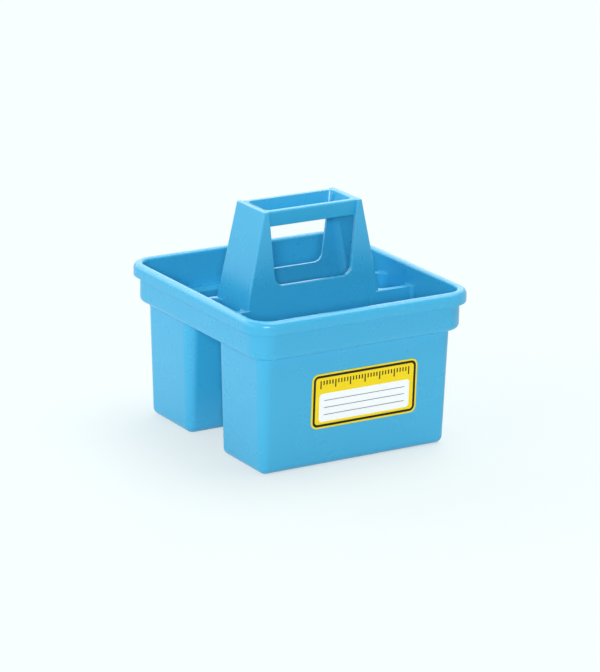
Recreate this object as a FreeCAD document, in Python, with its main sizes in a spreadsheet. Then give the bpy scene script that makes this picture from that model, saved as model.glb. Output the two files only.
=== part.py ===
"""Two-bin tool caddy: two deep tapered bins under a shared upper tray, a carrying handle between them.

X runs along the labelled front, Y from front to back, Z up. The origin is on the floor, under the middle.
The caddy is one moulding with a stuck-on label. Each moulded section is a solid of its own here, and
neighbouring sections meet face to face.
"""

import FreeCAD
import Part
import Sketcher
import math
import os

# Driving sizes in millimetres: name, value, what it measures.
SIZES = [
    ("caddy_width", 180.0, "outside of the rim, left to right"),
    ("caddy_depth", 188.5, "outside of the rim, front to back"),
    ("rim_corner_radius", 20.0, "plan corners of the rim"),
    ("rim_drop", 9.2, "height of the turned-down rim"),
    ("rim_overhang", 4.8, "rim beyond the collar wall"),
    ("rim_wall", 2.2, "thickness of the rim's top web and of its lip"),
    ("rim_edge_radius", 3.8, "rounding of the rim's outer top edge"),
    ("rim_inner_radius", 2.0, "rounding of the rim's inner top edge"),
    ("rim_trim_radius", 0.6, "rounding of the foot of the rim's lip"),
    ("collar_height", 29.0, "underside of the ledge to the top of the rim"),
    ("collar_wall", 2.2, "thickness of the collar"),
    ("collar_foot_radius", 4.0, "rounding under the collar"),
    ("ledge_thickness", 2.6, "ledge and tray floors"),
    ("ledge_step", 6.9, "collar outside to bin outside"),
    ("curb_width", 3.0, "raised edge of the ledge, along the collar"),
    ("curb_height", 1.0, "raised edge of the ledge above the rest of it"),
    ("mouth_bevel", 1.4, "bevel round the mouths of the bins"),
    ("bin_height", 85.6, "floor to the underside of the ledge"),
    ("bin_draft", 3.0, "taper of each bin wall from top to floor"),
    ("bin_wall", 2.4, "thickness of the bin walls"),
    ("bin_floor", 2.6, "thickness of the bin floors"),
    ("bin_corner_radius", 5.8, "upright corners of the bins, at the floor"),
    ("bin_foot_radius", 5.4, "rounding round the bin floors"),
    ("bin_gap", 38.8, "clear space between the bins, under the ledge"),
    ("divider_height", 12.7, "divider above the ledge"),
    ("divider_wall", 3.7, "thickness of the dividers"),
    ("divider_flare", 3.0, "rounding where a divider meets the collar, on the side of the bin"),
    ("divider_bevel", 0.6, "bevel along the top of the dividers"),
    ("tray_corner_radius", 8.0, "plan corners of the small trays"),
    ("web_trim", 1.0, "where the corner webs stop short of running out to nothing"),
    ("handle_base_length", 114.7, "handle, left to right, at the ledge"),
    ("handle_top_length", 80.4, "handle, left to right, at its top"),
    ("handle_top_width", 38.6, "handle, front to back, at its top"),
    ("handle_height", 81.3, "handle above the ledge"),
    ("handle_wall", 2.6, "thickness of the handle walls"),
    ("handle_edge_radius", 1.4, "upright outer corners of the handle"),
    ("handle_inner_radius", 5.0, "upright inner corners of the handle"),
    ("handle_trim_radius", 0.8, "rounding round the hand opening and round the top of the handle"),
    ("opening_sill", 27.4, "bottom of the hand opening above the ledge"),
    ("opening_base_width", 61.4, "hand opening at its sill"),
    ("opening_top_width", 72.2, "hand opening at the top of the handle"),
    ("opening_radius", 7.0, "bottom corners of the hand opening"),
    ("panel_length", 44.0, "wall under the hand opening, between the feet of the stiles"),
    ("grip_height", 11.9, "grip trough, outside"),
    ("grip_recess", 1.4, "top of the grip trough back from the long faces of the handle"),
    ("grip_taper", 2.5, "how far each long side of the trough leans in from its top to its foot"),
    ("grip_floor", 2.6, "floor of the grip trough"),
    ("grip_wall", 4.2, "long walls of the grip trough, at the top"),
    ("grip_end_wall", 1.0, "end walls of the grip trough, at the top"),
    ("grip_draft", 2.0, "how far the hollow of the trough narrows towards its floor"),
    ("grip_corner_radius", 4.0, "plan corners of the hollow of the trough, at the top"),
    ("grip_edge_radius", 1.2, "outer top edges of the grip trough"),
    ("grip_foot_radius", 1.0, "outer bottom edges of the grip trough"),
    ("grip_floor_radius", 1.2, "rounding round the floor of the trough"),
    ("grip_mouth_radius", 0.6, "rounding round the mouth of the trough"),
    ("label_length", 86.2, "label, left to right"),
    ("label_height", 40.2, "label, bottom to top"),
    ("label_thickness", 0.3, "label"),
    ("label_corner_radius", 5.0, "corners of the label"),
    ("label_shift", 5.8, "middle of the label, right of the caddy's middle"),
    ("label_level", 48.2, "middle of the label above the floor"),
    ("cut_margin", 10.0, "how far cutting shapes run past what they cut"),
]


class Size:
    """A length held both as a number and as the expression that ties it to the sheet."""

    def __init__(self, number, text):
        self.number = number
        self.text = text

    def __add__(self, other):
        return Size(self.number + other.number, f"({self.text} + {other.text})")

    def __sub__(self, other):
        return Size(self.number - other.number, f"({self.text} - {other.text})")

    def __mul__(self, other):
        return Size(self.number * other.number, f"({self.text} * {other.text})")

    def __truediv__(self, other):
        return Size(self.number / other.number, f"({self.text} / {other.text})")

    def __neg__(self):
        return Size(-self.number, f"(0 - {self.text})")


def fixed(number):
    """A plain number as a Size."""
    return Size(float(number), str(number))


def lesser(one, other):
    """The smaller of two lengths."""
    return Size(min(one.number, other.number), f"min({one.text}; {other.text})")


ZERO = fixed(0)
TWO = fixed(2)
WALL_SHARE = fixed(0.95)  # the most of a wall that a rounding may take
NEAR = 1e-3  # places closer than this, in millimetres, are the same place

doc = FreeCAD.newDocument("ToolCaddy")
sheet = doc.addObject("Spreadsheet::Sheet", "Sizes")
size = {}
for row, (name, value, meaning) in enumerate(SIZES, start=1):
    sheet.set(f"A{row}", name)
    sheet.set(f"B{row}", str(value))
    sheet.set(f"C{row}", meaning)
    sheet.setAlias(f"B{row}", name)
    size[name] = Size(value, f"Sizes.{name}")
doc.recompute()

# Heights above the floor.
ledge_foot = size["bin_height"]
ledge_top = ledge_foot + size["ledge_thickness"]
curb_top = ledge_top + size["curb_height"]
rim_top = ledge_foot + size["collar_height"]
rim_foot = rim_top - size["rim_drop"]
web_foot = rim_top - size["rim_wall"]
divider_top = ledge_top + size["divider_height"]
handle_top = ledge_top + size["handle_height"]
grip_foot = handle_top - size["grip_height"]

# Half sizes in plan.
rim_x = size["caddy_width"] / TWO
rim_y = size["caddy_depth"] / TWO
collar_x = rim_x - size["rim_overhang"]
collar_y = rim_y - size["rim_overhang"]
cavity_x = collar_x - size["collar_wall"]
cavity_y = collar_y - size["collar_wall"]
curb_x = cavity_x - size["curb_width"]
curb_y = cavity_y - size["curb_width"]
bin_x = collar_x - size["ledge_step"]
bin_y = collar_y - size["ledge_step"]
gap_y = size["bin_gap"] / TWO
mouth_x = bin_x - size["bin_wall"]
mouth_y = bin_y - size["bin_wall"]
divider_y = gap_y + size["bin_wall"]
tray_y = divider_y - size["divider_wall"]
handle_base_x = size["handle_base_length"] / TWO
handle_base_y = divider_y
handle_top_x = size["handle_top_length"] / TWO
handle_top_y = size["handle_top_width"] / TWO
handle_slope_x = (handle_base_x - handle_top_x) / size["handle_height"]
handle_slope_y = (handle_base_y - handle_top_y) / size["handle_height"]
hollow_top_x = handle_top_x + handle_slope_x * size["grip_height"] - size["handle_wall"]
hollow_top_y = handle_top_y + handle_slope_y * size["grip_height"] - size["handle_wall"]

# Corner radii in plan, each wall keeping its thickness round the corner.
collar_radius = size["rim_corner_radius"] - size["rim_overhang"]
cavity_radius = collar_radius - size["collar_wall"]
curb_radius = cavity_radius - size["curb_width"]
bin_top_radius = size["bin_corner_radius"] + size["bin_draft"]
mouth_radius = bin_top_radius - size["bin_wall"]


def bind(thing, path, value):
    """Tie one property of an object to the sheet."""
    thing.setExpression(path, value.text)


def origin_plane(body, role):
    """One of a body's own origin planes."""
    for feature in body.Origin.OriginFeatures:
        if feature.Role == role:
            return feature
    raise RuntimeError(f"{body.Name} has no {role}")


def new_sketch(body, name, role, offset):
    """An empty sketch on an origin plane, moved along the plane's normal."""
    sketch = body.newObject("Sketcher::SketchObject", name)
    sketch.AttachmentSupport = (origin_plane(body, role), [""])
    sketch.MapMode = "FlatFace"
    sketch.AttachmentOffset = FreeCAD.Placement(FreeCAD.Vector(0, 0, offset.number), FreeCAD.Rotation())
    bind(sketch, ".AttachmentOffset.Base.z", offset)
    return sketch


def place(sketch, axis, element, point, value):
    """Hold a point at a signed distance from the origin, along X or Y."""
    kind = f"Distance{axis}"
    if value.number >= 0:
        rule = Sketcher.Constraint(kind, -1, 1, element, point, value.number)
        tie = value
    else:
        rule = Sketcher.Constraint(kind, element, point, -1, 1, -value.number)
        tie = -value
    index = sketch.addConstraint(rule)
    bind(sketch, f"Constraints[{index}]", tie)


def draw_rounded(sketch, left, right, low, high, radius):
    """Draw a rounded rectangle: four sides, four tangent corners of one radius."""
    x0, x1, y0, y1 = left.number, right.number, low.number, high.number
    r = radius.number
    first = sketch.GeometryCount
    sides = [
        ((x0 + r, y0), (x1 - r, y0)),
        ((x1, y0 + r), (x1, y1 - r)),
        ((x1 - r, y1), (x0 + r, y1)),
        ((x0, y1 - r), (x0, y0 + r)),
    ]
    centres = [(x1 - r, y0 + r), (x1 - r, y1 - r), (x0 + r, y1 - r), (x0 + r, y0 + r)]
    quarter = math.pi / 2
    for number in range(4):
        start, end = (FreeCAD.Vector(*point, 0) for point in sides[number])
        sketch.addGeometry(Part.LineSegment(start, end), False)
        circle = Part.Circle(FreeCAD.Vector(*centres[number], 0), FreeCAD.Vector(0, 0, 1), r)
        turn = quarter * (number - 1)
        sketch.addGeometry(Part.ArcOfCircle(circle, turn, turn + quarter), False)
    for step in range(8):
        here = first + step
        after = first + (step + 1) % 8
        sketch.addConstraint(Sketcher.Constraint("Tangent", here, 2, after, 1))
    for side in (0, 4):
        sketch.addConstraint(Sketcher.Constraint("Horizontal", first + side))
    for side in (2, 6):
        sketch.addConstraint(Sketcher.Constraint("Vertical", first + side))
    for corner in (3, 5, 7):
        sketch.addConstraint(Sketcher.Constraint("Equal", first + 1, first + corner))
    place(sketch, "Y", first, 1, low)
    place(sketch, "X", first + 2, 1, right)
    place(sketch, "Y", first + 4, 1, high)
    place(sketch, "X", first + 6, 1, left)
    index = sketch.addConstraint(Sketcher.Constraint("Radius", first + 1, r))
    bind(sketch, f"Constraints[{index}]", radius)


def draw_polygon(sketch, points):
    """Draw a closed polygon whose every corner is held to the sheet."""
    count = len(points)
    first = sketch.GeometryCount
    for number in range(count):
        start = points[number]
        end = points[(number + 1) % count]
        a = FreeCAD.Vector(start[0].number, start[1].number, 0)
        b = FreeCAD.Vector(end[0].number, end[1].number, 0)
        sketch.addGeometry(Part.LineSegment(a, b), False)
    for number in range(count):
        here = first + number
        after = first + (number + 1) % count
        sketch.addConstraint(Sketcher.Constraint("Coincident", here, 2, after, 1))
        place(sketch, "X", here, 1, points[number][0])
        place(sketch, "Y", here, 1, points[number][1])


def rounded_sketch(body, name, level, left, right, low, high, radius):
    """A rounded rectangle lying level at a height."""
    sketch = new_sketch(body, name, "XY_Plane", level)
    draw_rounded(sketch, left, right, low, high, radius)
    return sketch


def plain_sketch(body, name, level, half_x, half_y):
    """A square-cornered rectangle about the middle of the caddy."""
    sketch = new_sketch(body, name, "XY_Plane", level)
    draw_polygon(sketch, [(-half_x, -half_y), (half_x, -half_y), (half_x, half_y), (-half_x, half_y)])
    return sketch


def centred_sketch(body, name, level, half_x, half_y, radius):
    """A rounded rectangle about the middle of the caddy."""
    return rounded_sketch(body, name, level, -half_x, half_x, -half_y, half_y, radius)


def new_body(name):
    """An empty body."""
    return doc.addObject("PartDesign::Body", name)


def pad(body, name, sketch, length, both_ways=False):
    """Raise a sketch into a solid."""
    feature = body.newObject("PartDesign::Pad", name)
    feature.Profile = sketch
    feature.Length = length.number
    bind(feature, "Length", length)
    if both_ways:
        feature.SideType = "Symmetric"
    return feature


def loft(body, name, kind, lower, upper):
    """Join two level outlines with straight walls, from the upper one down."""
    feature = body.newObject(kind, name)
    feature.Profile = upper
    feature.Sections = [lower]
    feature.Ruled = True
    return feature


def edges_where(shape, test):
    """Names of the edges that pass a test."""
    return [f"Edge{number}" for number, edge in enumerate(shape.Edges, start=1) if test(edge)]


def fillet(body, name, base, test, radius):
    """Round the edges of a feature that pass a test."""
    doc.recompute()
    names = edges_where(base.Shape, test)
    if not names:
        raise RuntimeError(f"{name} found no edges")
    feature = body.newObject("PartDesign::Fillet", name)
    feature.Base = (base, names)
    feature.Radius = radius.number
    bind(feature, "Radius", radius)
    return feature


def level_edge(edge, level):
    """Whether an edge lies level at a height."""
    box = edge.BoundBox
    return abs(box.ZMin - level.number) < NEAR and abs(box.ZMax - level.number) < NEAR


def on_outline(edge, level, half_x, half_y):
    """Whether an edge is a side or a corner of a centred outline at a height."""
    return level_edge(edge, level) and all(
        abs(abs(end.X) - half_x.number) < NEAR or abs(abs(end.Y) - half_y.number) < NEAR
        for end in edge.Vertexes
    )


def lies_along_x(edge, half_y, level):
    """Whether an edge runs left to right at a distance from the middle and a height."""
    box = edge.BoundBox
    return level_edge(edge, level) and box.YLength < NEAR and abs(abs(box.YMin) - half_y.number) < NEAR


def boolean(kind, name, base, tool):
    """Combine two solids."""
    feature = doc.addObject(kind, name)
    feature.Base = base
    feature.Tool = tool
    return feature


def block(name, low, high):
    """A square-edged block between two corners."""
    feature = doc.addObject("Part::Box", name)
    for side, axis in zip(("Length", "Width", "Height"), range(3)):
        bind(feature, side, high[axis] - low[axis])
    for axis, letter in enumerate("xyz"):
        bind(feature, f".Placement.Base.{letter}", low[axis])
    return feature


def mirrored(name, source, normal):
    """The mirror image of a piece across the middle of the caddy."""
    feature = doc.addObject("Part::Mirroring", name)
    feature.Source = source
    feature.Base = FreeCAD.Vector(0, 0, 0)
    feature.Normal = normal
    return feature


ACROSS_X = FreeCAD.Vector(1, 0, 0)
ACROSS_Y = FreeCAD.Vector(0, 1, 0)
pieces = {}

# Rim: a web on top of the collar, turned down at its outer edge into a lip.
rim = new_body("Rim")
web_sketch = centred_sketch(rim, "RimWebOutline", web_foot, rim_x, rim_y, size["rim_corner_radius"])
draw_rounded(web_sketch, -cavity_x, cavity_x, -cavity_y, cavity_y, cavity_radius)
pad(rim, "RimWeb", web_sketch, size["rim_wall"])
lip_x = rim_x - size["rim_wall"]
lip_y = rim_y - size["rim_wall"]
lip_radius = size["rim_corner_radius"] - size["rim_wall"]
lip_sketch = centred_sketch(rim, "RimLipOutline", rim_foot, rim_x, rim_y, size["rim_corner_radius"])
draw_rounded(lip_sketch, -lip_x, lip_x, -lip_y, lip_y, lip_radius)
rim_solid = pad(rim, "RimLip", lip_sketch, size["rim_drop"] - size["rim_wall"])
rim_round = fillet(
    rim, "RimOuterRound", rim_solid,
    lambda edge: on_outline(edge, rim_top, rim_x, rim_y),
    size["rim_edge_radius"],
)
rim_inner = fillet(
    rim, "RimInnerRound", rim_round,
    lambda edge: on_outline(edge, rim_top, cavity_x, cavity_y),
    lesser(size["rim_inner_radius"], size["rim_wall"] * WALL_SHARE),
)
lip_gap = size["rim_overhang"] - size["rim_wall"]
rim_under = fillet(
    rim, "RimUnderRound", rim_inner,
    lambda edge: on_outline(edge, web_foot, lip_x, lip_y),
    lesser(size["rim_edge_radius"] - size["rim_wall"], lip_gap * WALL_SHARE),
)
fillet(
    rim, "RimFootRound", rim_under,
    lambda edge: on_outline(edge, rim_foot, rim_x, rim_y),
    size["rim_trim_radius"],
)
pieces["rim"] = rim

# Upper tray: the collar, the ledge round the bins and the floors of the two small trays.
upper_tray = new_body("UpperTray")
collar_sketch = centred_sketch(upper_tray, "CollarOutline", ledge_foot, collar_x, collar_y, collar_radius)
collar_pad = pad(upper_tray, "CollarBlock", collar_sketch, web_foot - ledge_foot)
fillet(
    upper_tray, "CollarFoot", collar_pad,
    lambda edge: level_edge(edge, ledge_foot),
    size["collar_foot_radius"],
)
cavity_low = centred_sketch(upper_tray, "CavityFloor", curb_top, cavity_x, cavity_y, cavity_radius)
cavity_high = centred_sketch(upper_tray, "CavityMouth", web_foot, cavity_x, cavity_y, cavity_radius)
loft(upper_tray, "Cavity", "PartDesign::SubtractiveLoft", cavity_low, cavity_high)
curb_low = centred_sketch(upper_tray, "CurbLow", ledge_top, curb_x, curb_y, curb_radius)
curb_high = centred_sketch(upper_tray, "CurbHigh", curb_top, curb_x, curb_y, curb_radius)
loft(upper_tray, "CurbCut", "PartDesign::SubtractiveLoft", curb_low, curb_high)
flare_x = mouth_x + size["mouth_bevel"]
flare_y = mouth_y + size["mouth_bevel"]
flare_radius = mouth_radius + size["mouth_bevel"]
for side, low_span, high_span in (
    ("Front", (-mouth_y, -divider_y), (-flare_y, -divider_y)),
    ("Rear", (divider_y, mouth_y), (divider_y, flare_y)),
):
    mouth_low = rounded_sketch(
        upper_tray, f"{side}MouthLow", ledge_foot, -mouth_x, mouth_x, *low_span, mouth_radius)
    mouth_high = rounded_sketch(
        upper_tray, f"{side}MouthHigh", ledge_top, -flare_x, flare_x, *high_span, flare_radius)
    loft(upper_tray, f"{side}Mouth", "PartDesign::SubtractiveLoft", mouth_low, mouth_high)
hollow_base_x = handle_base_x - size["handle_wall"]
hollow_base_y = handle_base_y - size["handle_wall"]
well_radius = size["handle_inner_radius"]
well_low = centred_sketch(
    upper_tray, "HandleWellLow", ledge_foot, hollow_base_x, hollow_base_y, well_radius)
well_high = centred_sketch(
    upper_tray, "HandleWellHigh", ledge_top, hollow_base_x, hollow_base_y, well_radius)
loft(upper_tray, "HandleWell", "PartDesign::SubtractiveLoft", well_low, well_high)
pieces["upper_tray"] = upper_tray

# Bins: tapered tubs with rounded feet. The rear one is the front one's mirror image.
front_bin = new_body("FrontBin")
draft = size["bin_draft"]
bin_low = rounded_sketch(
    front_bin, "BinFoot", ZERO, -(bin_x - draft), bin_x - draft,
    -(bin_y - draft), -(gap_y + draft), size["bin_corner_radius"])
bin_high = rounded_sketch(
    front_bin, "BinTop", ledge_foot, -bin_x, bin_x, -bin_y, -gap_y, bin_top_radius)
bin_block = loft(front_bin, "BinBlock", "PartDesign::AdditiveLoft", bin_low, bin_high)
fillet(front_bin, "BinFootRound", bin_block, lambda edge: level_edge(edge, ZERO), size["bin_foot_radius"])
floor_draft = draft * (size["bin_height"] - size["bin_floor"]) / size["bin_height"]
bin_hollow_low = rounded_sketch(
    front_bin, "BinHollowFloor", size["bin_floor"], -(mouth_x - floor_draft), mouth_x - floor_draft,
    -(mouth_y - floor_draft), -(divider_y + floor_draft), mouth_radius - floor_draft)
bin_hollow_high = rounded_sketch(
    front_bin, "BinHollowTop", ledge_foot, -mouth_x, mouth_x, -mouth_y, -divider_y, mouth_radius)
bin_hollow = loft(front_bin, "BinHollow", "PartDesign::SubtractiveLoft", bin_hollow_low, bin_hollow_high)
fillet(
    front_bin, "BinFloorRound", bin_hollow,
    lambda edge: level_edge(edge, size["bin_floor"]),
    size["bin_foot_radius"] - size["bin_wall"],
)
pieces["front_bin"] = front_bin
pieces["rear_bin"] = mirrored("RearBin", front_bin, ACROSS_Y)

# Handle: a tapered box, hollow from below as far as the grip, with a hand opening through its long walls.
envelope = new_body("HandleEnvelope")
base_outline = centred_sketch(
    envelope, "HandleBase", ledge_top, handle_base_x, handle_base_y, size["handle_edge_radius"])
top_outline = centred_sketch(
    envelope, "HandleTop", handle_top, handle_top_x, handle_top_y, size["handle_edge_radius"])
loft(envelope, "HandleBlock", "PartDesign::AdditiveLoft", base_outline, top_outline)

hollow = new_body("HandleHollow")
base_outline = centred_sketch(
    hollow, "HollowBase", ledge_top, hollow_base_x, hollow_base_y, size["handle_inner_radius"])
top_outline = centred_sketch(
    hollow, "HollowTop", grip_foot, hollow_top_x, hollow_top_y, size["handle_inner_radius"])
loft(hollow, "HollowBlock", "PartDesign::AdditiveLoft", base_outline, top_outline)

hand_opening = new_body("HandOpening")
sill = ledge_top + size["opening_sill"]
opening_base_x = size["opening_base_width"] / TWO
opening_top_x = size["opening_top_width"] / TWO
opening_sketch = new_sketch(hand_opening, "OpeningOutline", "XZ_Plane", ZERO)
draw_polygon(opening_sketch, [
    (-opening_base_x, sill),
    (opening_base_x, sill),
    (opening_top_x, handle_top),
    (-opening_top_x, handle_top),
])
opening_block = pad(
    hand_opening, "OpeningBlock", opening_sketch, (handle_base_y + size["cut_margin"]) * TWO, both_ways=True)
fillet(
    hand_opening, "OpeningCorners", opening_block,
    lambda edge: level_edge(edge, sill) and edge.BoundBox.XLength < NEAR,
    size["opening_radius"],
)

shell = boolean("Part::Cut", "HandleShell", envelope, hollow)
open_shell = boolean("Part::Cut", "OpenShell", shell, hand_opening)


def on_long_face(point):
    """Whether a point lies on one of the handle's long outer faces."""
    face_y = handle_top_y.number + handle_slope_y.number * (handle_top.number - point.z)
    return abs(abs(point.y) - face_y) < NEAR


def rounds_opening(edge):
    """Whether an edge runs round the hand opening, on the outside of the handle."""
    box = edge.BoundBox
    within = max(-box.XMin, box.XMax) < opening_top_x.number + NEAR and box.ZMin > sill.number - NEAR
    middle = edge.valueAt((edge.FirstParameter + edge.LastParameter) / 2)
    return within and all(on_long_face(point) for point in [middle] + [end.Point for end in edge.Vertexes])


handle = new_body("Handle")
handle.BaseFeature = open_shell
doc.recompute()
fillet(
    handle, "HandleTrim", handle.Tip,
    lambda edge: rounds_opening(edge) or on_outline(edge, handle_top, handle_top_x, handle_top_y),
    size["handle_trim_radius"],
)
panel_x = size["panel_length"] / TWO
outer_x = handle_base_x + size["cut_margin"]
outer_y = handle_base_y + size["cut_margin"]
upper_z = handle_top + size["cut_margin"]
lower_z = ledge_top - size["cut_margin"]
left_region = block("LeftRegion", (-outer_x, -outer_y, lower_z), (-panel_x, outer_y, upper_z))
front_region = block("FrontRegion", (-panel_x, -outer_y, lower_z), (panel_x, ZERO, upper_z))
left_stile = boolean("Part::Common", "LeftStile", handle, left_region)
front_panel = boolean("Part::Common", "FrontPanel", handle, front_region)
pieces["handle_left_stile"] = left_stile
pieces["handle_right_stile"] = mirrored("RightStile", left_stile, ACROSS_X)
pieces["handle_front_panel"] = front_panel
pieces["handle_rear_panel"] = mirrored("RearPanel", front_panel, ACROSS_Y)

# Grip: a trough, open above, that spans the top of the hand opening from stile to stile.
grip = new_body("GripTrough")
grip_floor_top = grip_foot + size["grip_floor"]
opening_slope = (opening_top_x - opening_base_x) / (handle_top - sill)
grip_foot_x = opening_top_x - opening_slope * size["grip_height"]
grip_floor_x = grip_foot_x + opening_slope * size["grip_floor"]
grip_y = handle_top_y - size["grip_recess"]
grip_foot_y = grip_y - size["grip_taper"]
grip_mouth_x = opening_top_x - size["grip_end_wall"]
grip_mouth_y = grip_y - size["grip_wall"]
grip_low = plain_sketch(grip, "GripFoot", grip_foot, grip_foot_x, grip_foot_y)
grip_high = plain_sketch(grip, "GripTop", handle_top, opening_top_x, grip_y)
grip_block = loft(grip, "GripBlock", "PartDesign::AdditiveLoft", grip_low, grip_high)
grip_top_round = fillet(
    grip, "GripTopRound", grip_block,
    lambda edge: lies_along_x(edge, grip_y, handle_top),
    size["grip_edge_radius"],
)
fillet(
    grip, "GripFootRound", grip_top_round,
    lambda edge: lies_along_x(edge, grip_foot_y, grip_foot),
    size["grip_foot_radius"],
)
hollow_low = centred_sketch(
    grip, "GripHollowFloor", grip_floor_top,
    grip_floor_x - size["grip_end_wall"] - size["grip_draft"], grip_mouth_y - size["grip_draft"],
    size["grip_corner_radius"] - size["grip_draft"])
hollow_high = centred_sketch(
    grip, "GripHollowMouth", handle_top, grip_mouth_x, grip_mouth_y, size["grip_corner_radius"])
grip_hollow = loft(grip, "GripHollow", "PartDesign::SubtractiveLoft", hollow_low, hollow_high)
grip_floor_round = fillet(
    grip, "GripFloorRound", grip_hollow,
    lambda edge: level_edge(edge, grip_floor_top),
    size["grip_floor_radius"],
)
fillet(
    grip, "GripMouthRound", grip_floor_round,
    lambda edge: on_outline(edge, handle_top, grip_mouth_x, grip_mouth_y),
    size["grip_mouth_radius"],
)
pieces["grip_trough"] = grip

# Dividers: low walls from the handle to the collar, webbed at both ends, that side the small trays.
divider = new_body("DividerBlock")
tray_inner_x = handle_base_x - handle_slope_x * size["divider_height"]
divider_inner_x = tray_inner_x - size["handle_wall"]
web_y = tray_y - size["tray_corner_radius"] + size["web_trim"]
flare_end_y = divider_y + size["divider_flare"] - size["web_trim"]
divider_sketch = new_sketch(divider, "DividerOutline", "XY_Plane", ledge_top)
draw_polygon(divider_sketch, [
    (divider_inner_x, -flare_end_y),
    (cavity_x, -flare_end_y),
    (cavity_x, -web_y),
    (divider_inner_x, -web_y),
])
pad(divider, "DividerPad", divider_sketch, size["divider_height"])
bin_side_x = divider_inner_x - size["cut_margin"]
bin_side_y = flare_end_y + size["cut_margin"]
bevel_foot = divider_top - size["divider_bevel"]
for name, low, high, spread in (
    ("Hollow", ledge_top, divider_top, ZERO),
    ("Bevel", bevel_foot, divider_top, size["divider_bevel"]),
):
    tray_low = rounded_sketch(
        divider, f"Tray{name}Low", low, tray_inner_x, cavity_x, -tray_y, tray_y, size["tray_corner_radius"])
    tray_high = rounded_sketch(
        divider, f"Tray{name}High", high, tray_inner_x - spread, cavity_x + spread,
        -(tray_y + spread), tray_y + spread, size["tray_corner_radius"] + spread)
    loft(divider, f"Tray{name}", "PartDesign::SubtractiveLoft", tray_low, tray_high)
    side_low = rounded_sketch(
        divider, f"BinSide{name}Low", low, bin_side_x, cavity_x,
        -bin_side_y, -divider_y, size["divider_flare"])
    side_high = rounded_sketch(
        divider, f"BinSide{name}High", high, bin_side_x - spread, cavity_x + spread,
        -(bin_side_y + spread), -(divider_y - spread), size["divider_flare"] + spread)
    loft(divider, f"BinSide{name}", "PartDesign::SubtractiveLoft", side_low, side_high)
divider_end = boolean("Part::Cut", "DividerEnd", divider, envelope)
right_front = boolean("Part::Cut", "RightFrontDivider", divider_end, upper_tray)
right_rear = mirrored("RightRearDivider", right_front, ACROSS_Y)
pieces["right_front_divider"] = right_front
pieces["right_rear_divider"] = right_rear
pieces["left_front_divider"] = mirrored("LeftFrontDivider", right_front, ACROSS_X)
pieces["left_rear_divider"] = mirrored("LeftRearDivider", right_rear, ACROSS_X)

# Label: a thin rounded sheet on the leaning front wall of the front bin.
label = new_body("Label")
label_x = size["label_length"] / TWO
label_z = size["label_height"] / TWO
label_sketch = new_sketch(label, "LabelOutline", "XZ_Plane", ZERO)
draw_rounded(label_sketch, -label_x, label_x, -label_z, label_z, size["label_corner_radius"])
pad(label, "LabelSheet", label_sketch, size["label_thickness"])
lean = draft / size["bin_height"]
label_y = bin_y - lean * (size["bin_height"] - size["label_level"])
label.Placement = FreeCAD.Placement(
    FreeCAD.Vector(size["label_shift"].number, -label_y.number, size["label_level"].number),
    FreeCAD.Rotation(ACROSS_X, math.degrees(math.atan(lean.number))),
)
bind(label, ".Placement.Base.x", size["label_shift"])
bind(label, ".Placement.Base.y", -label_y)
bind(label, ".Placement.Base.z", size["label_level"])
label.setExpression(".Placement.Rotation.Angle", f"atan({lean.text})")
pieces["label"] = label

for name, piece in pieces.items():
    piece.Label = name
doc.recompute()

# Nothing is written unless every object is sound and every piece is one solid.
for thing in doc.Objects:
    if "Invalid" in thing.State or "Error" in thing.State:
        raise RuntimeError(f"{thing.Name} failed: {thing.State}")
for name, piece in pieces.items():
    shape = piece.Shape
    if shape.isNull() or not shape.isValid() or len(shape.Solids) != 1:
        raise RuntimeError(f"{name} is not one sound solid")

os.makedirs("parts", exist_ok=True)
for name, piece in pieces.items():
    piece.Shape.exportStep(f"parts/{name}.step")
    print(f"{name}: {piece.Shape.Volume:.1f} mm3")
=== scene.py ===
"""Dresses the tool caddy: moulded blue plastic, a printed label, a pale floor and soft studio light."""

import math

import bpy
from mathutils import Matrix, Vector


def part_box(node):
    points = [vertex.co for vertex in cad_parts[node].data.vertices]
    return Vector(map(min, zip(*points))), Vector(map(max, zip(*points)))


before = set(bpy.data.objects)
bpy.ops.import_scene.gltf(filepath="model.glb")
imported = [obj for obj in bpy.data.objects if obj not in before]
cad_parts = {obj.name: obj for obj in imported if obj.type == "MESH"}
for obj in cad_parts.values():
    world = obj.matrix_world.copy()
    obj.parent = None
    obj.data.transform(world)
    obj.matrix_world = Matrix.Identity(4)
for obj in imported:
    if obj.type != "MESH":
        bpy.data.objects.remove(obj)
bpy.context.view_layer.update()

MM = 0.001

# The photograph's view of the caddy, solved from its straight edges. The sensor spans the image's height.
VIEW_AZIMUTH = math.radians(-31.41)
VIEW_ELEVATION = math.radians(17.24)
VIEW_ROLL = math.radians(0.90)
VIEW_DISTANCE = 2488.5 * MM
VIEW_TARGET = Vector((-1.46, -5.91, 70.8)) * MM
VIEW_REACH = 100.0
FOCAL_PIXELS = 3496.3
IMAGE_HEIGHT_PIXELS = 672
SENSOR_MM = 36.0

# Colours, in linear light.
PLASTIC_BLUE = (0.043, 0.413, 0.685)
PLASTIC_BLUE_DEEP = (0.041, 0.406, 0.677)
LABEL_YELLOW = (0.930, 0.695, 0.012)
LABEL_YELLOW_DEEP = (0.910, 0.670, 0.010)
LABEL_INK = (0.010, 0.006, 0.003)
LABEL_WHITE = (0.925, 0.940, 0.945)
LABEL_RULE = (0.100, 0.110, 0.120)
FLOOR_PALE = (0.760, 0.810, 0.810)
BACKDROP_PALE = (0.920, 1.000, 1.000)

# The plastic's surface: waves per metre of its patterns, their bump and the roughness they spread over.
FLOW_WAVES = 9.0
SMEAR_WAVES = 38.0
GRAIN_WAVES = 800.0
GRAIN_HEIGHT = 0.02 * MM
GRAIN_STRENGTH = 0.08
PLASTIC_ROUGHNESS = (0.26, 0.30)
PLASTIC_IOR = 1.50

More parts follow.
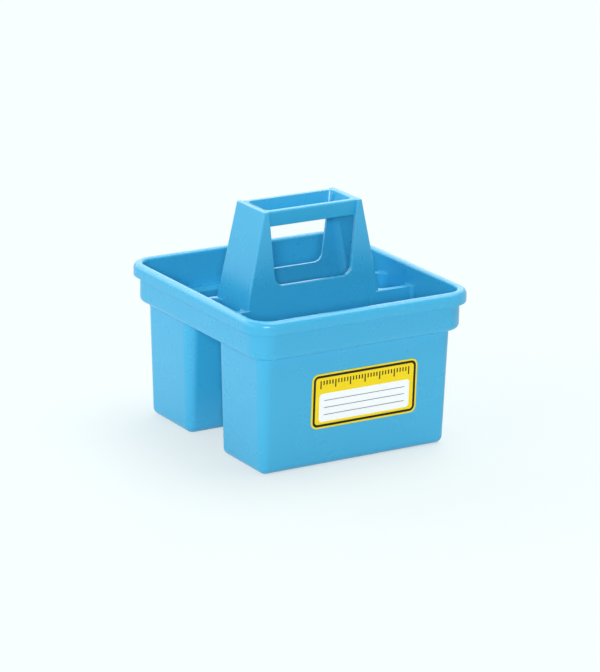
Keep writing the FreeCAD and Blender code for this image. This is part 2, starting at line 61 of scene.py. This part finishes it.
# The label's surface, in the same terms.
TONE_WAVES = 60.0
FIBRE_WAVES = 900.0
FIBRE_HEIGHT = 0.02 * MM
FIBRE_STRENGTH = 0.2
LABEL_ROUGHNESS = (0.42, 0.54)
LABEL_SPECULAR = 0.2

# The label's print: the border is set in from the label's edge, and the rest is placed from its middle.
INK_EDGE = 0.10 * MM
BORDER_INSET = 2.1 * MM
BORDER_WIDTH = 1.9 * MM
BORDER_RADIUS = 3.2 * MM
TICK_LEVEL = 15.0 * MM
TICK_PITCH = 2.4 * MM
TICK_WIDTH = 1.1 * MM
SHORT_TICK = 3.2 * MM
LONG_TICK = 6.0 * MM
LONG_TICK_EVERY = 5.0
TICK_ROW_HALF = 36.6 * MM
PANEL_LEVEL = -5.0 * MM
PANEL_HALF_LENGTH = 37.0 * MM
PANEL_HALF_HEIGHT = 10.4 * MM
PANEL_RADIUS = 2.6 * MM
RULE_ROWS = (1, 0, -1)
RULE_PITCH = 5.2 * MM
RULE_WIDTH = 0.6 * MM
RULE_HALF_LENGTH = 33.0 * MM

# The floor: half its side in metres, its gap under the bins, and the share of white that pales its shadow.
FLOOR_HALF = 30.0
FLOOR_DROP = 0.05 * MM
FLOOR_ROUGHNESS = 0.9
FLOOR_SPECULAR = 0.0
SHADOW_LIFT = 0.6

# Lights: name, bearing and height in degrees, brightness of a white card that faces it, spread in degrees.
SOFT_LIGHTS = [
    ("top_light", 90.0, 72.0, 0.62, 50.0),
    ("front_light", -31.4, 17.2, 0.54, 10.0),
    ("left_light", -104.0, 14.0, 0.45, 70.0),
    ("far_left_light", -160.0, 30.0, 0.20, 40.0),
    ("back_light", 150.0, 35.0, 0.30, 60.0),
]

# The room's light on the caddy, as a share of its brightness to the camera.
ROOM_LIGHT = 0.14

# Limits between which a value is stretched.
FULL = (0.0, 1.0)
NOISE_SPREAD = (0.3, 0.7)

# Places of the colour sockets on Blender's Mix node.
MIX_COLOUR_BELOW = 6
MIX_COLOUR_ABOVE = 7
MIX_COLOUR_RESULT = 2


def opaque(colour):
    """A colour with full alpha, as sockets take it."""
    return (*colour, 1.0)


class Tree:
    """The node tree of a material or a world, with short ways to add nodes and sums."""

    def __init__(self, owner):
        owner.use_nodes = True
        self.owner = owner
        self.nodes = owner.node_tree.nodes
        self.links = owner.node_tree.links

    def add(self, kind, **settings):
        """A node with some of its settings."""
        node = self.nodes.new(kind)
        for key, value in settings.items():
            setattr(node, key, value)
        return node

    def feed(self, socket, value):
        """Set a socket to a number or colour, or join it to another socket."""
        if isinstance(value, bpy.types.NodeSocket):
            self.links.new(value, socket)
        else:
            socket.default_value = value

    def math(self, operation, a, b=0.0, clamp=False):
        """One sum of two numbers."""
        node = self.add("ShaderNodeMath", operation=operation, use_clamp=clamp)
        self.feed(node.inputs[0], a)
        self.feed(node.inputs[1], b)
        return node.outputs[0]

    def mix(self, share, below, above):
        """One colour over another."""
        node = self.add("ShaderNodeMix", data_type="RGBA")
        self.feed(node.inputs["Factor"], share)
        for place, value in ((MIX_COLOUR_BELOW, below), (MIX_COLOUR_ABOVE, above)):
            self.feed(node.inputs[place], opaque(value) if isinstance(value, tuple) else value)
        return node.outputs[MIX_COLOUR_RESULT]

    def noise(self, vector, waves, detail=2.0, roughness=0.5):
        """A noise value about a half, with its waves per metre."""
        node = self.add("ShaderNodeTexNoise")
        self.feed(node.inputs["Vector"], vector)
        node.inputs["Scale"].default_value = waves
        node.inputs["Detail"].default_value = detail
        node.inputs["Roughness"].default_value = roughness
        return node.outputs["Fac"]

    def stretch(self, value, old, new):
        """A value moved from one pair of limits to another, and held within them."""
        node = self.add("ShaderNodeMapRange")
        self.feed(node.inputs["Value"], value)
        for key, limit in zip(("From Min", "From Max", "To Min", "To Max"), (*old, *new)):
            node.inputs[key].default_value = limit
        return node.outputs["Result"]

    def bump(self, height, strength, distance):
        """A normal roughened by a height."""
        node = self.add("ShaderNodeBump")
        node.inputs["Strength"].default_value = strength
        node.inputs["Distance"].default_value = distance
        self.feed(node.inputs["Height"], height)
        return node.outputs["Normal"]

    def place(self):
        """The position on the caddy, in metres."""
        return self.add("ShaderNodeTexCoord").outputs["Object"]


def moulded_plastic():
    """Satin blue polypropylene: faint colour flow, fine moulded grain, uneven gloss."""
    tree = Tree(bpy.data.materials.new("moulded_blue"))
    place = tree.place()
    flow = tree.stretch(tree.noise(place, FLOW_WAVES, detail=3.0), NOISE_SPREAD, FULL)
    smear = tree.noise(place, SMEAR_WAVES, detail=4.0, roughness=0.55)
    grain = tree.noise(place, GRAIN_WAVES)
    shader = tree.nodes["Principled BSDF"]
    tree.feed(shader.inputs["Base Color"], tree.mix(flow, PLASTIC_BLUE_DEEP, PLASTIC_BLUE))
    tree.feed(shader.inputs["Roughness"], tree.stretch(smear, NOISE_SPREAD, PLASTIC_ROUGHNESS))
    tree.feed(shader.inputs["Normal"], tree.bump(grain, GRAIN_STRENGTH, GRAIN_HEIGHT))
    tree.feed(shader.inputs["IOR"], PLASTIC_IOR)
    return tree.owner


def inside(tree, distance):
    """1 inside a printed shape, 0 outside it, from its signed distance."""
    return tree.math("MULTIPLY", distance, -1.0 / INK_EDGE, clamp=True)


def bar(tree, value, middle, half):
    """1 where a value lies within a distance of a middle."""
    gap = tree.math("ABSOLUTE", tree.math("SUBTRACT", value, middle))
    return inside(tree, tree.math("SUBTRACT", gap, half))


def rounded_panel(tree, across, up, half_across, half_up, radius):
    """Signed distance to a rounded rectangle about the origin, negative inside it."""
    side = tree.math("SUBTRACT", tree.math("ABSOLUTE", across), half_across - radius)
    rise = tree.math("SUBTRACT", tree.math("ABSOLUTE", up), half_up - radius)
    side_out = tree.math("MAXIMUM", side, 0.0)
    rise_out = tree.math("MAXIMUM", rise, 0.0)
    square = tree.math("ADD", tree.math("POWER", side_out, 2.0), tree.math("POWER", rise_out, 2.0))
    within = tree.math("MINIMUM", tree.math("MAXIMUM", side, rise), 0.0)
    return tree.math("SUBTRACT", tree.math("ADD", tree.math("SQRT", square), within), radius)


def ruler_ticks(tree, across, up):
    """A row of ruler ticks that hang from a level, with a long one at every fifth place."""
    count = tree.math("DIVIDE", across, TICK_PITCH)
    nearest = tree.math("ROUND", count)
    off = tree.math("MULTIPLY", tree.math("SUBTRACT", count, nearest), TICK_PITCH)
    stroke = bar(tree, off, 0.0, TICK_WIDTH / 2)
    group = tree.math("ROUND", tree.math("DIVIDE", nearest, LONG_TICK_EVERY))
    is_long = tree.math("COMPARE", nearest, tree.math("MULTIPLY", group, LONG_TICK_EVERY))
    extra = tree.math("MULTIPLY", is_long, (LONG_TICK - SHORT_TICK) / 2)
    half_reach = tree.math("ADD", extra, SHORT_TICK / 2)
    hang = bar(tree, tree.math("SUBTRACT", TICK_LEVEL, up), half_reach, half_reach)
    row = bar(tree, across, 0.0, TICK_ROW_HALF)
    return tree.math("MULTIPLY", tree.math("MULTIPLY", stroke, row), hang)


def ruled_lines(tree, across, up):
    """Lines to write on, placed about the white panel's middle."""
    lines = 0.0
    for row in RULE_ROWS:
        lines = tree.math("MAXIMUM", lines, bar(tree, up, row * RULE_PITCH, RULE_WIDTH / 2))
    return tree.math("MULTIPLY", lines, bar(tree, across, 0.0, RULE_HALF_LENGTH))


def label_colour(tree, place):
    """The label's print: yellow with a dark border, a ruler scale and a ruled white panel."""
    low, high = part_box("label")
    middle = (low + high) / 2
    half = (high - low) / 2
    split = tree.add("ShaderNodeSeparateXYZ")
    tree.feed(split.inputs[0], place)
    across = tree.math("SUBTRACT", split.outputs["X"], middle.x)
    up = tree.math("SUBTRACT", split.outputs["Z"], middle.z)
    panel_up = tree.math("SUBTRACT", up, PANEL_LEVEL)

    edge = rounded_panel(tree, across, up, half.x - BORDER_INSET, half.z - BORDER_INSET, BORDER_RADIUS)
    border = bar(tree, edge, 0.0, BORDER_WIDTH / 2)
    sheet = rounded_panel(tree, across, panel_up, PANEL_HALF_LENGTH, PANEL_HALF_HEIGHT, PANEL_RADIUS)
    ink = tree.math("MAXIMUM", border, ruler_ticks(tree, across, up))

    tone = tree.stretch(tree.noise(place, TONE_WAVES, detail=4.0), NOISE_SPREAD, FULL)
    colour = tree.mix(tone, LABEL_YELLOW_DEEP, LABEL_YELLOW)
    colour = tree.mix(inside(tree, sheet), colour, LABEL_WHITE)
    colour = tree.mix(ruled_lines(tree, across, panel_up), colour, LABEL_RULE)
    return tree.mix(ink, colour, LABEL_INK)


def printed_label():
    """Coated paper with a fine fibre, which carries the label's print."""
    tree = Tree(bpy.data.materials.new("printed_label"))
    place = tree.place()
    fibre = tree.noise(place, FIBRE_WAVES, detail=5.0, roughness=0.65)
    shader = tree.nodes["Principled BSDF"]
    tree.feed(shader.inputs["Base Color"], label_colour(tree, place))
    tree.feed(shader.inputs["Roughness"], tree.stretch(fibre, NOISE_SPREAD, LABEL_ROUGHNESS))
    tree.feed(shader.inputs["Normal"], tree.bump(fibre, FIBRE_STRENGTH, FIBRE_HEIGHT))
    tree.feed(shader.inputs["Specular IOR Level"], LABEL_SPECULAR)
    return tree.owner


def dress_caddy():
    """Give every section of the moulding its plastic, and the label its print."""
    plastic = moulded_plastic()
    label = printed_label()
    for name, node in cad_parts.items():
        node.data.materials.clear()
        node.data.materials.append(label if name == "label" else plastic)


def seen_directly(tree):
    """1 on a ray from the camera, a reflection or a clear surface, 0 on soft light."""
    path = tree.add("ShaderNodeLightPath")
    seen = path.outputs["Is Camera Ray"]
    for name in ("Is Glossy Ray", "Is Transmission Ray"):
        seen = tree.math("MAXIMUM", seen, path.outputs[name])
    return seen


def pale_floor():
    """Matt and pale, and mixed with white where it is seen, so that only a soft shadow shows."""
    tree = Tree(bpy.data.materials.new("floor_pale"))
    shader = tree.nodes["Principled BSDF"]
    tree.feed(shader.inputs["Base Color"], opaque(FLOOR_PALE))
    tree.feed(shader.inputs["Roughness"], FLOOR_ROUGHNESS)
    tree.feed(shader.inputs["Specular IOR Level"], FLOOR_SPECULAR)
    white = tree.add("ShaderNodeEmission")
    tree.feed(white.inputs["Color"], opaque(BACKDROP_PALE))
    blend = tree.add("ShaderNodeMixShader")
    tree.feed(blend.inputs[0], tree.math("MULTIPLY", seen_directly(tree), SHADOW_LIFT))
    tree.feed(blend.inputs[1], shader.outputs[0])
    tree.feed(blend.inputs[2], white.outputs[0])
    tree.feed(tree.nodes["Material Output"].inputs["Surface"], blend.outputs[0])
    return tree.owner


def build_floor():
    """A wide level sheet just under the bins."""
    half = FLOOR_HALF
    corners = [(x, y, -FLOOR_DROP) for x, y in ((-half, -half), (half, -half), (half, half), (-half, half))]
    mesh = bpy.data.meshes.new("floor")
    mesh.from_pydata(corners, [], [(0, 1, 2, 3)])
    mesh.materials.append(pale_floor())
    floor = bpy.data.objects.new("floor", mesh)
    bpy.context.scene.collection.objects.link(floor)


def towards(azimuth, elevation):
    """The direction to a place at a bearing from the front, rightwards, and a height, in radians."""
    level = math.cos(elevation)
    return Vector((math.sin(azimuth) * level, -math.cos(azimuth) * level, math.sin(elevation)))


def build_room():
    """A pale room that shows at full strength and lights the caddy only a little."""
    world = bpy.data.worlds.new("studio")
    tree = Tree(world)
    background = tree.nodes["Background"]
    tree.feed(background.inputs["Color"], opaque(BACKDROP_PALE))
    tree.feed(background.inputs["Strength"], tree.stretch(seen_directly(tree), FULL, (ROOM_LIGHT, 1.0)))
    bpy.context.scene.world = world


def build_lights():
    """Broad soft lights above, in front, on the left and behind."""
    for name, azimuth, elevation, brightness, spread in SOFT_LIGHTS:
        data = bpy.data.lights.new(name, "SUN")
        data.energy = brightness * math.pi
        data.angle = math.radians(spread)
        lamp = bpy.data.objects.new(name, data)
        aim = towards(math.radians(azimuth), math.radians(elevation))
        lamp.rotation_euler = aim.to_track_quat("Z", "Y").to_euler()
        bpy.context.scene.collection.objects.link(lamp)


def build_camera():
    """A camera where the photograph was taken from."""
    back = towards(VIEW_AZIMUTH, VIEW_ELEVATION)
    right = (-back).cross(Vector((0, 0, 1))).normalized()
    up = right.cross(-back)
    turned_right = math.cos(VIEW_ROLL) * right + math.sin(VIEW_ROLL) * up
    turned_up = -math.sin(VIEW_ROLL) * right + math.cos(VIEW_ROLL) * up
    pose = Matrix((turned_right, turned_up, back)).transposed().to_4x4()
    pose.translation = VIEW_TARGET + back * VIEW_DISTANCE
    data = bpy.data.cameras.new("camera")
    data.sensor_width = SENSOR_MM
    data.lens = FOCAL_PIXELS * SENSOR_MM / IMAGE_HEIGHT_PIXELS
    data.clip_end = VIEW_REACH
    camera = bpy.data.objects.new("camera", data)
    camera.matrix_world = pose
    bpy.context.scene.collection.objects.link(camera)
    bpy.context.scene.camera = camera


dress_caddy()
build_floor()
build_room()
build_lights()
build_camera()
bpy.context.scene.view_settings.view_transform = "Standard"
